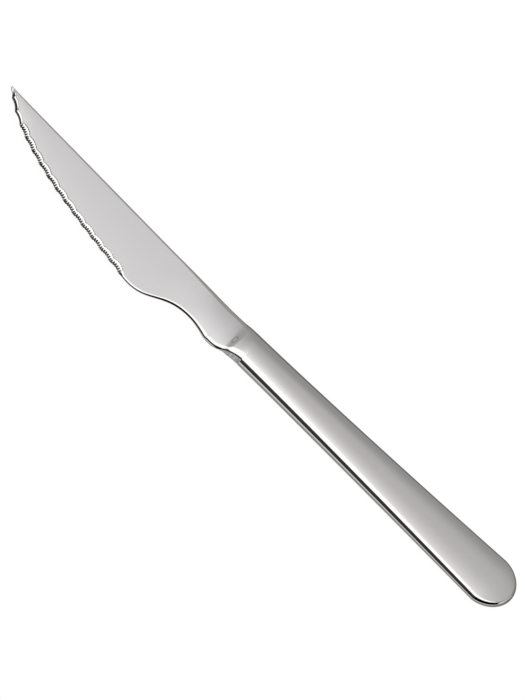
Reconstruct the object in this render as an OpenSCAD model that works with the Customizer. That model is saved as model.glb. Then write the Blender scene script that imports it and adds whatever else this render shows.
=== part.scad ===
// Steak knife with a forged, serrated blade and a hollow handle brazed from two half shells.
// It lies on its side: tip at -X, butt at +X, cutting edge at -Y, spine at +Y, table at Z = 0.

/* [Blade] */
// Length of the blade from the tip to the heel corner
blade_len = 98.5; // [88:0.5:112]
// Width of the blade where the serrations end
blade_width = 19; // [17.5:0.5:21]
// Thickness of the blade
blade_t = 1.5; // [1.3:0.1:2]
// Distance from the heel corner forward to the end of the serrations
belly_setback = 33; // [30:0.5:38]
// Distance from the heel corner forward to the narrowest place of the choil
choil_setback = 7.5; // [6:0.5:10]
// Width at the narrowest place of the choil
choil_width = 12.2; // [11.5:0.1:12.8]
// Width at the heel corner
heel_width = 13.5; // [12.8:0.1:14.5]

/* [Serrations] */
// Length of one scallop along the edge
scallop_pitch = 4.7; // [4:0.1:6]
// Radius of the wheel that grinds a scallop
scallop_r = 12; // [10:0.5:16]
// Depth of a scallop below the blade's face, at the inner end of the teeth
scallop_depth = 0.35; // [0.3:0.05:0.5]
// Angle between a scallop and the blade's face
scallop_angle = 27; // [22:1:32]
// Teeth in each scallop
teeth_per_scallop = 6; // [4:1:7]
// Radius of the groove between two teeth
tooth_r = 0.5; // [0.45:0.05:0.7]
// Angle between a tooth groove and the blade's face
tooth_angle = 56; // [50:1:62]
// Scallops at the tip that are ground without teeth
plain_scallops = 2; // [0:1:4]

/* [Bolster and tang] */
// Length of the bolster from the heel corner to the handle
bolster_len = 13; // [10:0.5:16]
// Rounding of the bolster's sides where they leave the blade
bolster_edge_r = 0.3; // [0.2:0.05:0.5]
// Length of the spigot that enters the handle
spigot_len = 4; // [3:0.5:6]
// Length of the tang inside the handle
tang_len = 48; // [36:1:60]
// Width of the tang
tang_width = 6; // [5:0.5:7]
// Radius of the holes that key the tang into its cement
key_hole_r = 1.3; // [1:0.1:1.6]
// Distance from the tang's end to the nearer hole
key_hole_setback = 12; // [9:1:16]
// Distance between the two holes
key_hole_spacing = 16; // [10:1:18]

/* [Handle] */
// Length of the handle from the bolster to the butt
handle_len = 113.5; // [100:0.5:130]
// Width of the handle at its mouth
mouth_width = 12.3; // [11.5:0.1:13.5]
// Width of the handle near the butt
butt_width = 18.1; // [15.5:0.1:20]
// Thickness of the handle at its mouth
mouth_t = 6.35; // [6:0.05:7]
// Thickness of the handle near the butt
butt_t = 4.3; // [3.9:0.1:5]
// Length of the round end of the butt
butt_round = 9.7; // [7:0.1:11]
// Distance of the handle's centre line below the spine, at the mouth
mouth_drop = 5.4; // [5:0.1:6]
// Angle between the handle's centre line and the spine
handle_rake = 2.1; // [0:0.1:3]
// Wall of the half shells
shell_wall = 0.9; // [0.7:0.05:1]
// Depth of the flat land on which the handle rests
land_depth = 0.1; // [0.06:0.02:0.2]
// Thickness of the braze in the seams
braze_t = 0.1; // [0.06:0.02:0.2]
// Length of the cement beyond the end of the tang
cement_beyond = 12; // [4:1:20]

/* [Hidden] */
$fn = 48;

// Clearance between the spigot, the tang and what surrounds them
fit_gap = 0.05;
// How far a cutter passes the face that it cuts, and a root reaches into its neighbour
overrun = 2;
// How far the bolster starts inside the blade's faces and edges
root_sink = 0.02;
// Points along each curve of the blade's outline
curve_steps = 14;
// Steps of the handle along its length, round its butt and across its crown, shoulders and sides
length_steps = 14;
butt_steps = 10;
crown_steps = 3;
shoulder_steps = 3;
side_steps = 3;
// Steps of the bolster along its length
bolster_steps = 18;
// Control points of the edge from the tip to the belly, along and across the blade
edge_lead_shares = [0.2, 0.8];
edge_tail_shares = [0.89, 0.93];
// Pull of the curve from the belly into the choil, and from the choil to the heel
belly_pull_share = 1.8;
choil_pull_share = 0.5;
heel_pull_shares = [0.42, 0.73, 0.65];
// Radii of the handle's shoulder and side over its half thickness, at its mouth and at the butt
mouth_round_shares = [1.35, 0.69];
butt_round_shares = [0.79, 0.68];
// Angle where a shoulder and a side meet
shoulder_turn = 48;
// Power of the handle's flare towards the butt, and of the rise of the bolster's spine
flare_power = 1.4;
rise_power = 1.5;
// Stretches of the bolster in which it swells fast and slowly, and what part of the swelling is slow
fast_swell_shares = [0.47, 0.67];
slow_swell_shares = [0.2, 1];
slow_part_share = 0.72;
// Bolster's crown over the handle's crown, where the bolster leaves the blade
first_crown_share = 0.02;
// Size of the bolster's root inside the blade over its first section
root_share = 0.5;
// Length of the tang's tapered end over its width
tang_taper_share = 0.8;
// Width of the tang's end over its width
tang_end_share = 0.4;
// Distance between two teeth, so that whole teeth fill a scallop
tooth_pitch = scallop_pitch / teeth_per_scallop;

face_z = blade_t / 2;
tang_t = blade_t - 2 * fit_gap;
belly_x = blade_len - belly_setback;
choil_x = blade_len - choil_setback;
mouth_x = blade_len + bolster_len;
butt_x = handle_len - butt_round;
side_z = braze_t / 2;
butt_edge_r = side_reach(butt_round_shares[0], butt_round_shares[1]) * butt_t / 2;
cement_len = tang_len + cement_beyond;
taper_angle = atan((mouth_t - butt_t) / 2 / handle_len);

// Values between two ends
function mix(a, b, share) = a + (b - a) * share;
function ease(share) = share * share * (3 - 2 * share);
function ease_within(share, start, end) = ease(min(1, max(0, (share - start) / (end - start))));
function ease_out(share) = 1 - pow(1 - share, rise_power);
function swell(share) = mix(
    ease_within(share, fast_swell_shares[0], fast_swell_shares[1]),
    ease_within(share, slow_swell_shares[0], slow_swell_shares[1]),
    slow_part_share
);
function flatten(lists) = [for (list = lists) for (item = list) item];
function reverse(list) = [for (i = [len(list) - 1:-1:0]) list[i]];

// Cubic curve through its first and last control point
function curve_point(p, t) =
    pow(1 - t, 3) * p[0] + 3 * t * pow(1 - t, 2) * p[1] + 3 * t * t * (1 - t) * p[2] + pow(t, 3) * p[3];
function curve(p) = [for (i = [1:curve_steps]) curve_point(p, i / curve_steps)];

// Outline of the blade from above: tip at the origin, spine along +X, edge at -Y
edge_curve = [
    [0, 0],
    [edge_lead_shares[0] * belly_x, -edge_lead_shares[1] * blade_width],
    [edge_tail_shares[0] * belly_x, -edge_tail_shares[1] * blade_width],
    [belly_x, -blade_width]
];
belly_curve = [
    [belly_x, -blade_width],
    edge_curve[3] + belly_pull_share * (edge_curve[3] - edge_curve[2]),
    [mix(choil_x, belly_x, choil_pull_share), -choil_width],
    [choil_x, -choil_width]
];
heel_curve = [
    [choil_x, -choil_width],
    [mix(choil_x, blade_len, heel_pull_shares[0]), -choil_width],
    [mix(choil_x, blade_len, heel_pull_shares[1]), -mix(choil_width, heel_width, heel_pull_shares[2])],
    [blade_len, -heel_width]
];

// Length run along the edge from the tip, and the curve's parameter at a run
edge_steps = 4 * curve_steps;
edge_samples = [for (i = [0:edge_steps]) curve_point(edge_curve, i / edge_steps)];
edge_runs = [
    for (i = 0, run = 0; i <= edge_steps;
         run = i < edge_steps ? run + norm(edge_samples[i + 1] - edge_samples[i]) : run, i = i + 1)
    [run, i / edge_steps]
];
serrated_run = edge_runs[edge_steps][0];
scallop_count = floor(serrated_run / scallop_pitch);
first_scallop = serrated_run - (scallop_count - 0.5) * scallop_pitch;
function edge_at(run) = curve_point(edge_curve, lookup(run, edge_runs));
function edge_turn(run) =
    let (step = edge_at(run + tooth_r) - edge_at(run - tooth_r))
    atan2(step[1], step[0]);

// Handle from above: place along its centre line and across it, in the blade's frame
function handle_place(along, across) = [
    mouth_x + along * cos(handle_rake) - across * sin(handle_rake),
    -mouth_drop + along * sin(handle_rake) + across * cos(handle_rake)
];

// Handle sizes along its centre line, before the butt rounds them off
function core_half(along) = mix(mouth_width, butt_width, pow(max(0, along) / butt_x, flare_power)) / 2;
function core_height(along) = mix(mouth_t, butt_t, along / handle_len) / 2;
function round_off(along, start, reach) =
    let (share = min(1, max(0, (along - start) / reach)))
    sqrt(1 - share * share);

// One section of the handle, drawn in by some depth: half width, half height, shoulder and side radius
function handle_size(along, depth) =
    let (plan = round_off(along, butt_x, butt_round - depth))
    let (rise = round_off(along, handle_len - butt_edge_r, butt_edge_r - depth))
    let (round_shares = mix(mouth_round_shares, butt_round_shares, along / handle_len))
    [
        (core_half(along) - depth) * plan,
        side_z + (core_height(along) - side_z - depth) * rise,
        (round_shares[0] * core_height(along) - depth) * rise,
        (round_shares[1] * core_height(along) - depth) * rise
    ];

// How far a shoulder and a side reach in and fall, from a crown that were flat
function side_reach(shoulder_r, side_r) = shoulder_r * sin(shoulder_turn) + side_r * (1 - sin(shoulder_turn));
function side_fall(shoulder_r, side_r) = shoulder_r * (1 - cos(shoulder_turn)) + side_r * cos(shoulder_turn);

// Upper half of an oval section, from the +Y side over the crown to the -Y side.
// A crown arc meets two shoulder arcs, and these meet side arcs that end side_lift above the middle plane.
function oval(half, height, shoulder_r, side_r, side_lift) =
    let (reach = side_reach(shoulder_r, side_r))
    let (fall = side_fall(shoulder_r, side_r))
    let (meet = 2 * atan((height - side_lift - fall) / (half - reach)))
    let (crown_r = shoulder_r + (half - reach) / sin(meet))
    let (quarter = concat(
        [for (i = [0:crown_steps - 1])
            let (turn = meet * i / crown_steps)
            [crown_r * sin(turn), height - crown_r * (1 - cos(turn))]],
        [for (i = [0:shoulder_steps - 1])
            let (turn = mix(meet, shoulder_turn, i / shoulder_steps))
            [half - reach + shoulder_r * sin(turn), side_lift + fall - shoulder_r * (1 - cos(turn))]],
        [for (i = [0:side_steps])
            let (turn = mix(shoulder_turn, 90, i / side_steps))
            [half - side_r * (1 - sin(turn)), side_lift + side_r * cos(turn)]]
    ))
    concat(reverse(quarter), [for (i = [1:len(quarter) - 1]) [-quarter[i][0], quarter[i][1]]]);

function handle_oval(along, depth) =
    let (size = handle_size(along, depth))
    oval(size[0], size[1], size[2], size[3], side_z);
function lower_half(section) = [for (p = reverse(section)) [p[0], -p[1]]];
function handle_ring(section, along) = [for (p = section) concat(handle_place(along, p[0]), p[1])];

// Stations of the handle's wall, from a start to the last one before the butt's pole
function stations(start, depth) = concat(
    [for (i = [0:length_steps]) mix(start, butt_x, i / length_steps)],
    [for (i = [1:butt_steps - 1]) butt_x + (butt_round - depth) * sin(90 * i / butt_steps)]
);
function half_rings(start, depth) = [
    for (along = stations(start, depth)) handle_ring(handle_oval(along, depth), along)
];
function full_ring(along, depth) =
    let (section = handle_oval(along, depth))
    handle_ring(concat(section, lower_half(section)), along);
function plan_side(start, depth, side) = [
    for (along = stations(start, depth)) handle_place(along, side * handle_size(along, depth)[0])
];
function plan_outline(start, depth) = concat(
    plan_side(start, depth, 1),
    [handle_place(handle_len - depth, 0)],
    reverse(plan_side(start, depth, -1))
);

// Sections of the bolster, which grow from the blade's flat to the handle's mouth
function bolster_ring(share) =
    let (grow = swell(share))
    let (mouth = handle_size(0, 0))
    let (mouth_crown = mouth[1] - side_z - side_fall(mouth[2], mouth[3]))
    let (top = mix(-root_sink, mouth[0] - mouth_drop, ease_out(share)))
    let (bottom = mix(root_sink - heel_width, -mouth[0] - mouth_drop, ease(share)))
    let (shoulder_r = mix(bolster_edge_r, mouth[2], grow))
    let (side_r = mix(bolster_edge_r, mouth[3], grow))
    let (crown = mouth_crown * mix(first_crown_share, 1, grow))
    let (height = mix(face_z - root_sink, mouth[1], grow))
    let (side_lift = height - crown - side_fall(shoulder_r, side_r))
    let (section = oval((top - bottom) / 2, height, shoulder_r, side_r, side_lift))
    let (turn = handle_rake * share)
    [for (p = concat(section, lower_half(section))) [
        mix(blade_len, mouth_x, share) - p[0] * sin(turn),
        (top + bottom) / 2 + p[0] * cos(turn),
        p[1]
    ]];

// Smaller section inside the blade, from which the bolster starts
function bolster_root() = [
    for (p = bolster_ring(0))
    [p[0] - overrun, mix(-heel_width / 2, p[1], root_share), root_share * p[2]]
];

// Two triangles between two neighbouring points on each of two rings
function quad(a, b, c, d) = [[c, b, a], [d, c, a]];

// Solid through closed rings with a flat cap at each end
module ring_solid(rings) {
    n = len(rings[0]);
    last = (len(rings) - 1) * n;
    sides = [
        for (i = [0:len(rings) - 2]) for (j = [0:n - 1])
        let (k = (j + 1) % n)
        quad(i * n + j, i * n + k, (i + 1) * n + k, (i + 1) * n + j)
    ];
    caps = [[for (j = [0:n - 1]) j], [for (j = [n - 1:-1:0]) last + j]];
    polyhedron(flatten(rings), concat(flatten(sides), caps));
}

// Half shell between an outer and an inner set of half rings, each closed at the butt by a pole
module shell_solid(outer, outer_pole, inner, inner_pole) {
    n = len(outer[0]);
    count = len(outer);
    base = count * n + 1;
    poles = [count * n, base + count * n];
    wall = [
        for (i = [0:count - 2]) for (j = [0:n - 2])
        let (a = i * n + j)
        concat(quad(a, a + 1, a + n + 1, a + n), quad(base + a + n, base + a + n + 1, base + a + 1, base + a))
    ];
    last = (count - 1) * n;
    ends = [
        for (j = [last:last + n - 2])
        [[poles[0], j + 1, j], [poles[1], base + j, base + j + 1]]
    ];
    mouth = [for (j = [0:n - 2]) quad(base + j, base + j + 1, j + 1, j)];
    rims = [
        for (i = [0:count - 2])
        let (a = i * n)
        let (b = a + n - 1)
        concat(quad(a, a + n, base + a + n, base + a), quad(base + b, base + b + n, b + n, b))
    ];
    tips = concat(
        quad(last, poles[0], poles[1], base + last),
        quad(base + last + n - 1, poles[1], poles[0], last + n - 1)
    );
    polyhedron(
        concat(flatten(outer), [outer_pole], flatten(inner), [inner_pole]),
        concat(flatten(wall), flatten(ends), flatten(mouth), flatten(rims), tips)
    );
}

// Puts a piece from the blade's frame into the lying frame, with the handle's land on the table
butt_top = handle_place(butt_x, 0)[1]
    + norm([butt_round * sin(handle_rake), core_half(butt_x) * cos(handle_rake)]);
belly_low = min([for (p = curve(belly_curve)) p[1]]);
module lay_down() {
    translate([-handle_place(handle_len, 0)[0] / 2, -(belly_low + butt_top) / 2, 0])
    translate([mouth_x, 0, mouth_t / 2 * cos(taper_angle) - land_depth])
    rotate([0, taper_angle, 0])
    translate([-mouth_x, 0, 0])
    children();
}

// Takes off what would reach below the table, which leaves the land
module above_table() {
    reach = mouth_x + handle_len;
    difference() {
        children();
        translate([-reach, -reach, -overrun])
        cube([2 * reach, 2 * reach, overrun]);
    }
}

// Groove ground across the edge: its deepest line passes through a point inside the edge
module edge_groove(run, r, angle, inset, z) {
    translate(concat(edge_at(run), z))
    rotate([0, 0, edge_turn(run)])
    translate([0, inset - r * sin(angle), r * cos(angle)])
    rotate([90 + angle, 0, 0])
    cylinder(r = r, h = 2 * overrun + 2 * blade_t, center = true);
}

// Inset of the teeth's roots from the edge, which follows the slanted scallop's bow
scallop_bow_r = scallop_r * sin(scallop_angle);
scallop_rise = scallop_pitch * scallop_pitch / 8 / scallop_bow_r;
tooth_fall = (blade_t - scallop_depth) / tan(tooth_angle);
function tooth_inset(offset) = scallop_rise - offset * offset / 2 / scallop_bow_r;

module scallops() {
    for (i = [0:scallop_count - 1])
        edge_groove(
            first_scallop + i * scallop_pitch, scallop_r, scallop_angle,
            scallop_rise + tooth_fall, face_z - scallop_depth
        );
}

module teeth() {
    for (i = [plain_scallops:scallop_count - 1]) for (j = [0:teeth_per_scallop - 1])
        let (offset = (j - (teeth_per_scallop - 1) / 2) * tooth_pitch)
        edge_groove(
            first_scallop + i * scallop_pitch + offset, tooth_r, tooth_angle,
            tooth_inset(offset), -face_z
        );
}

// Tang from above, from the heel into the handle, with a tapered end
function tang_outline(start, gap) =
    let (half = tang_width / 2 + gap)
    let (tip_half = tang_end_share * tang_width / 2 + gap)
    let (neck = tang_len - tang_taper_share * tang_width)
    [
        handle_place(start, -half), handle_place(neck, -half), handle_place(tang_len + gap, -tip_half),
        handle_place(tang_len + gap, tip_half), handle_place(neck, half), handle_place(start, half)
    ];
module key_holes(r, depth) {
    for (i = [0, 1])
        translate(handle_place(tang_len - key_hole_setback - i * key_hole_spacing, 0))
        cylinder(r = r, h = depth, center = true);
}

module blade_plate() {
    difference() {
        linear_extrude(blade_t, center = true)
        polygon(concat([[0, 0]], curve(edge_curve), curve(belly_curve), curve(heel_curve), [[blade_len, 0]]));
        scallops();
        teeth();
    }
}

module tang() {
    difference() {
        linear_extrude(tang_t, center = true)
        polygon(tang_outline(-bolster_len, 0));
        key_holes(key_hole_r, tang_t + 2 * overrun);
    }
}

module bolster() {
    spigot_depth = shell_wall + fit_gap;
    ring_solid(concat(
        [bolster_root()],
        [for (i = [0:bolster_steps]) bolster_ring(i / bolster_steps)],
        [full_ring(0, spigot_depth), full_ring(spigot_len, spigot_depth)]
    ));
}

module blade() {
    color("gainsboro")
    union() {
        lay_down()
        blade_plate();
        lay_down()
        tang();
        above_table()
        lay_down()
        bolster();
    }
}

module half_shell() {
    shell_solid(
        half_rings(braze_t, 0), concat(handle_place(handle_len, 0), side_z),
        half_rings(braze_t, shell_wall), concat(handle_place(handle_len - shell_wall, 0), side_z)
    );
}

module handle_front_shell() {
    color("silver")
    lay_down()
    half_shell();
}

module handle_back_shell() {
    color("darkgray")
    above_table()
    lay_down()
    mirror([0, 0, 1])
    half_shell();
}

module shell_seam() {
    outer = plan_outline(braze_t, 0);
    inner = plan_outline(braze_t, shell_wall);
    color("goldenrod")
    lay_down()
    linear_extrude(braze_t, center = true)
    polygon(concat(outer, reverse(inner)));
}

module neck_joint() {
    color("darkgoldenrod")
    above_table()
    lay_down()
    difference() {
        ring_solid([full_ring(0, 0), full_ring(braze_t, 0)]);
        ring_solid([full_ring(-overrun, shell_wall), full_ring(overrun, shell_wall)]);
    }
}

module tang_cement() {
    depth = shell_wall + fit_gap;
    start = spigot_len + fit_gap;
    cavity_t = tang_t + 2 * fit_gap;
    color("tan")
    lay_down()
    difference() {
        ring_solid([
            for (i = [0:length_steps])
            full_ring(mix(start, cement_len, i / length_steps), depth)
        ]);
        difference() {
            linear_extrude(cavity_t, center = true)
            polygon(tang_outline(0, fit_gap));
            key_holes(key_hole_r - fit_gap, cavity_t + 2 * overrun);
        }
    }
}

blade();
handle_front_shell();
handle_back_shell();
shell_seam();
neck_joint();
tang_cement();
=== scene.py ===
import math

import bmesh
import bpy
from mathutils import Euler, Matrix, Vector


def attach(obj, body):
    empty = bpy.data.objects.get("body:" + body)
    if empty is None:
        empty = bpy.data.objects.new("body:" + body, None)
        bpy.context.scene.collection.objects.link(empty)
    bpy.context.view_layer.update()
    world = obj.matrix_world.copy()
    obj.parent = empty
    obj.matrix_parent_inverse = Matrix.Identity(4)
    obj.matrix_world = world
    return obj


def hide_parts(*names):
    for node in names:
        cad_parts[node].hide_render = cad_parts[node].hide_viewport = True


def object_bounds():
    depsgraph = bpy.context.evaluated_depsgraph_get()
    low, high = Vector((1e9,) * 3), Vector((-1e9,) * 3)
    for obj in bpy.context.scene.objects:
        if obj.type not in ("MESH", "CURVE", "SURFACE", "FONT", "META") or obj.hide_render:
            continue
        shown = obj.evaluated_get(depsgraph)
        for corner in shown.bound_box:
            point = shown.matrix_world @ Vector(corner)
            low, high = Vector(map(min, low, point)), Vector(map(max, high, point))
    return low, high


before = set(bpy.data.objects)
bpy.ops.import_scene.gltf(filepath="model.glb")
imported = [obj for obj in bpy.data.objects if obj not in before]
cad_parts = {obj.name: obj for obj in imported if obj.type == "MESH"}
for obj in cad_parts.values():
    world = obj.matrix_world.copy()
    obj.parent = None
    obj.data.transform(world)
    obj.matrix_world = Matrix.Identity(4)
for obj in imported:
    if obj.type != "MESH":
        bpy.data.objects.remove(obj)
cadLow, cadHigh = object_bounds()
print("frame loaded:", ", ".join(sorted(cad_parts)))

mm = 0.001  # sizes are in millimetres, unless a note says metres

# Blade in its own frame: tip at the origin, spine along +X, cutting edge at -Y, middle plane at Z = 0
blade = {
    "length": 98.5,
    "width": 19.0,
    "thickness": 1.5,
    "bellySetback": 33.0,
    "choilSetback": 7.5,
    "choilWidth": 12.2,
    "heelWidth": 13.5,
    "edgeLead": (0.2, 0.8),
    "edgeTail": (0.89, 0.93),
    "bellyPull": 1.8,
    "choilPull": 0.5,
    "heelPull": (0.42, 0.73, 0.65),
    "outlineStep": 0.5,
    # steps at which a curve is measured
    "edgeSamples": 600,
    "bellySamples": 200,
    "lengthSamples": 100,
    # thinning towards the edge, whole from this width on
    "wedge": 0.17,
    "wedgeWidth": 8.0,
    # rise of the face's middle at the tip and at the heel, and the share of the length where it grows
    "frontCrown": (0.1, 0.34),
    "crownStart": 0.86,
    "backCrown": 0.02,
    # sides of a section: first radius, its end angle, flat beyond it, second radius
    "frontEdge": (0.95, 50.0, 0.45, 0.05),
    "tipEdge": (0.4, 30.0, 0.6, 0.05),
    "bellyFlat": 0.1,
    "heelFlat": 0.4,
    "heelRadius": 1.9,
    # the spine lifts from this share of the length on, by this much at the heel
    "spineRise": (0.7, 0.36),
    "heelPolish": 0.25,
    "spinePolish": 0.8,
    "polishFade": (0.75, 0.5, 0.25),
    "tipSpine": (0.9, 55.0, 0.0, 0.15),
    "heelSpine": (2.7, 40.0, 0.0, 0.25),
    "spineStart": 0.76,
    "backEdge": (0.25, 45.0, 0.0, 0.25),
    "backSpine": (0.45, 45.0, 0.0, 0.45),
    "sharpAngle": 17.0,
}

# Scallops and teeth, ground into the front face
serration = {
    "scallopPitch": 4.7,
    "scallopRadius": 12.0,
    "scallopDepth": 0.26,
    "scallopAngle": 27.0,
    "teethPerScallop": 6,
    "toothRadius": 0.5,
    "toothAngle": 38.0,
    "plainScallops": 2,
    "plainLift": 0.42,
    "stepsPerTooth": 6,
    "runOut": 1.4,
    "room": 0.85,  # share of the way to the spine's rounding that a cut may take up
}

# Swelling between the blade and the handle, and what goes into the handle
bolster = {
    "length": 13.0,
    "steps": 124,
    "swell": (0.47, 0.67),
    "slowSwell": (0.2, 1.0),
    "slowShare": 0.72,
    "risePower": 1.5,
    # edge of the front at the heel, then the ground wall's edges: end angle, flat, second radius
    "heelEdge": (52.0, 0.1, 0.05),
    "neckEdge": (57.0, 0.38, 0.05),
    "neckStart": 0.08,
    "ribTurn": 0.3,
    "wallFront": (45.0, 0.0, 0.15),
    "wallBack": (30.0, 0.0, 0.25),
    "wallStart": (0.28, 0.62),
    "wallPower": 1.3,
    "wallInset": 0.9,
    "polishStart": (0.48, 0.9),
    "markPlace": (105.7, -7.1),
    "markHalf": (0.73, 1.48),
    "markRing": (0.8, 0.18),
    "markDepth": 0.05,
    "spigotLength": 4.0,
    "fitGap": 0.05,
    "tangLength": 48.0,
    "tangWidth": 6.0,
    "tangEnd": (0.8, 0.4),
    "keyHoles": 2,
    "keyRadius": 1.3,
    "keySetback": 12.0,
    "keySpacing": 16.0,
    "keySides": 32,
}

# Hollow handle
handle = {
    "length": 113.5,
    "mouthWidth": 12.3,
    "buttWidth": 18.1,
    "mouthThickness": 6.35,
    "buttThickness": 4.3,
    "buttRound": 9.7,
    "mouthDrop": 5.4,
    "rake": 2.1,
    "wall": 0.9,
    "landDepth": 0.1,
    "braze": 0.1,
    # radii of the shoulder and the side over the half thickness
    "mouthShares": (1.35, 0.69),
    "buttShares": (0.79, 0.42),
    "endShares": (0.36, 0.98),
    "endFlat": 0.2,
    "sidePower": 3.0,
    # how steeply the crown leaves the side, reached at this share of the length
    "crownPull": 1.3,
    "pullRun": 0.2,
    "buttFlat": 0.5,
    "shoulderTurn": 48.0,
    "fullness": 0.12,
    "sag": 0.17,
    "buttSkew": 0.4,
    "buttPower": 1.1,
    "flarePower": 1.4,
    "lengthSteps": 90,
    "buttSteps": 48,
    "sideRows": (12, 12),
    "crownRows": 24,
    "sharpAngle": 35.0,
}

# Points round the blade's section: on a side's first and second radius, or across a face
rows = {
    "edge": (8, 4),
    "face": 66,
    "spine": (6, 4),
    "edgeBack": (3, 3),
    "back": 18,
    "spineBack": (3, 3),
}

# Limits that keep the meshes sound
joinGap = 0.001  # points closer than this become one
leastEdge = 0.0005  # shorter edges are dissolved
leastWidth = 0.01  # of a section, at the very tip
leastRun = 1e-6  # of a crown, so that its slope is defined
hair = 1e-9  # a number this little under a whole one counts as it
sideRoom = 0.8  # share of a half width that its side may take up
flatRadius = 1e6  # stands for a crown without a curve

bellyX = blade["length"] - blade["bellySetback"]
choilX = blade["length"] - blade["choilSetback"]
mouthX = blade["length"] + bolster["length"]
buttX = handle["length"] - handle["buttRound"]
faceZ = blade["thickness"] / 2
sideZ = handle["braze"] / 2
rake = math.radians(handle["rake"])


def mix(a, b, share):
    return a + (b - a) * share


def mixForm(a, b, share):
    return tuple(mix(p, q, share) for p, q in zip(a, b))


def blendProfile(a, b, share):
    return [mixForm(p, q, share) for p, q in zip(a, b)]


def wholeBelow(number):
    return math.floor(number + hair)


def ease(share):
    return share * share * (3 - 2 * share)


def easeWithin(share, start, end):
    return ease(min(1, max(0, (share - start) / (end - start))))


def easeOut(share):
    return 1 - (1 - share) ** bolster["risePower"]


def swell(share):
    slow = easeWithin(share, *bolster["slowSwell"])
    return mix(easeWithin(share, *bolster["swell"]), slow, bolster["slowShare"])


def cubicPoint(c, t):
    s = 1 - t
    return s ** 3 * c[0] + 3 * t * s ** 2 * c[1] + 3 * t * t * s * c[2] + t ** 3 * c[3]


def cubicSlope(c, t):
    s = 1 - t
    return 3 * s ** 2 * (c[1] - c[0]) + 6 * t * s * (c[2] - c[1]) + 3 * t * t * (c[3] - c[2])


def squareTo(curve, t):
    slope = cubicSlope(curve, t).normalized()
    return Vector((-slope.y, slope.x))


# Outline of the edge: serrated stretch, belly into the choil, choil to the heel
bellyEnd = Vector((bellyX, -blade["width"]))
choilEnd = Vector((choilX, -blade["choilWidth"]))
heelEnd = Vector((blade["length"], -blade["heelWidth"]))
edgeCurve = [
    Vector((0, 0)),
    Vector((blade["edgeLead"][0] * bellyX, -blade["edgeLead"][1] * blade["width"])),
    Vector((blade["edgeTail"][0] * bellyX, -blade["edgeTail"][1] * blade["width"])),
    bellyEnd,
]
bellyCurve = [
    bellyEnd,
    bellyEnd + blade["bellyPull"] * (bellyEnd - edgeCurve[2]),
    Vector((mix(choilX, bellyX, blade["choilPull"]), -blade["choilWidth"])),
    choilEnd,
]
heelCurve = [
    choilEnd,
    Vector((mix(choilX, heelEnd.x, blade["heelPull"][0]), choilEnd.y)),
    Vector((
        mix(choilX, heelEnd.x, blade["heelPull"][1]),
        mix(choilEnd.y, heelEnd.y, blade["heelPull"][2]),
    )),
    heelEnd,
]


def arch(along):
    share = max(0, min(1, along / handle["length"]))
    return 4 * share * (1 - share)


def handlePlace(along, across, z):
    x = mouthX + along * math.cos(rake) - across * math.sin(rake)
    y = -handle["mouthDrop"] + along * math.sin(rake) + across * math.cos(rake)
    return Vector((x, y - handle["sag"] * arch(along), z))


def coreHalf(along):
    share = max(0, min(1, along / buttX))
    return mix(handle["mouthWidth"], handle["buttWidth"], share ** handle["flarePower"]) / 2


def coreHeight(along):
    even = mix(handle["mouthThickness"], handle["buttThickness"], along / handle["length"]) / 2
    return even + handle["fullness"] * arch(along)


# From the blade's frame into the lying frame, with the handle's land on the table
taper = math.atan((handle["mouthThickness"] - handle["buttThickness"]) / 2 / handle["length"])
bellySamples = blade["bellySamples"]
bellyLow = min(cubicPoint(bellyCurve, i / bellySamples).y for i in range(bellySamples + 1))
buttTop = buttX * math.sin(rake) - handle["mouthDrop"] + math.hypot(
    handle["buttRound"] * math.sin(rake), coreHalf(buttX) * math.cos(rake)
)
middle = Vector((-handlePlace(handle["length"], 0, 0).x / 2, -(bellyLow + buttTop) / 2, 0))
lift = handle["mouthThickness"] / 2 * math.cos(taper) - handle["landDepth"]
layDown = (
    Matrix.Scale(mm, 4)
    @ Matrix.Translation(middle + Vector((mouthX, 0, lift)))
    @ Matrix.Rotation(taper, 4, "Y")
    @ Matrix.Translation((-mouthX, 0, 0))
)


def skinGrid(columns, marks=None):
    # a grid with one column of points for each station, moved into place
    bm = bmesh.new()
    polish = bm.verts.layers.float.new("polish") if marks else None
    grind = bm.verts.layers.float.new("grind") if marks else None
    wide = len(columns) - 1
    high = len(columns[0]) - 1
    bmesh.ops.create_grid(bm, x_segments=wide, y_segments=high, size=1)
    for v in bm.verts:
        i = round((v.co.x + 1) / 2 * wide)
        j = round((v.co.y + 1) / 2 * high)
        v.co = columns[i][j]
        if marks:
            v[polish], v[grind] = marks[i][j]
    return bm


def cleanSkin(bm):
    bmesh.ops.remove_doubles(bm, verts=bm.verts, dist=joinGap)
    bmesh.ops.dissolve_degenerate(bm, edges=bm.edges, dist=leastEdge)
    bmesh.ops.recalc_face_normals(bm, faces=bm.faces)


def finishPiece(bm, name, nodes, sharpAngle):
    # lays the piece down, makes it an object and ties it to the frame
    bmesh.ops.transform(bm, matrix=layDown, verts=bm.verts)
    for v in bm.verts:  # nothing leaves the solids' box
        v.co = [max(low, min(high, c)) for low, c, high in zip(cadLow, v.co, cadHigh)]
    mesh = bpy.data.meshes.new(name)
    bm.to_mesh(mesh)
    bm.free()
    mesh.shade_smooth()
    mesh.set_sharp_from_angle(angle=math.radians(sharpAngle))
    piece = bpy.data.objects.new(name, mesh)
    bpy.context.scene.collection.objects.link(piece)
    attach(piece, "root")
    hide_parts(*nodes)
    print("piece made:", name, len(mesh.polygons), "faces")
    return piece


# Stations along the blade, each a rib from the edge to the spine


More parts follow.
